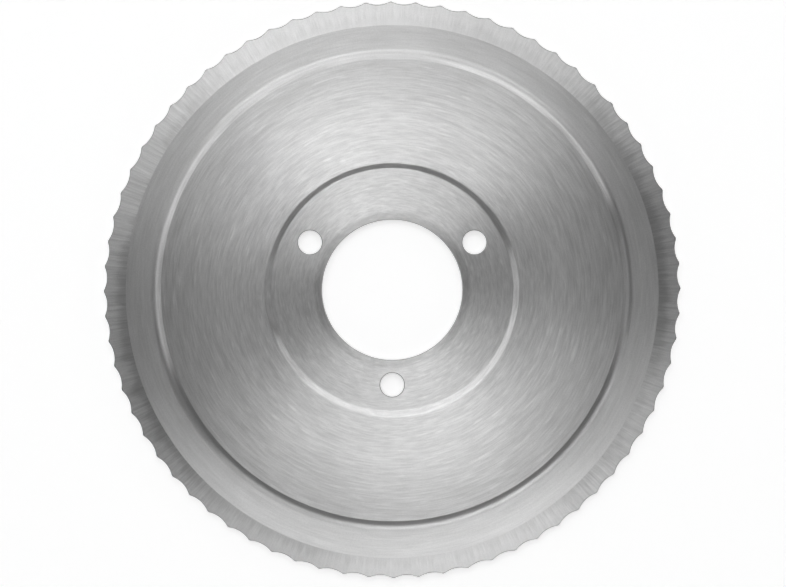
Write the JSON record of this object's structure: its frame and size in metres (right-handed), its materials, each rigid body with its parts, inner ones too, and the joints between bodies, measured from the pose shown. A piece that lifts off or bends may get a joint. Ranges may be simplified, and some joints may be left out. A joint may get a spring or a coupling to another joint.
{
  "type": "food slicer blade",
  "caption": "Circular food slicer blade: a pressed and brushed steel disc with a central bore, fastening holes round it, a ground bevel and a scalloped cutting edge.",
  "frame": {"origin": "on the axis of the bore, at the level of the hub's back face, on which the blade lies", "axes": "+Z along the bore's axis, out of the front face that carries the bevel; -Y through one of the fastening holes"},
  "size_m": [0.17, 0.17, 0.0025],
  "materials": {
    "steel": "brushed round the axis, with a radially ground bevel"
  },
  "bodies": {
    "root": {"blade": "steel"}
  },
  "joints": []
}
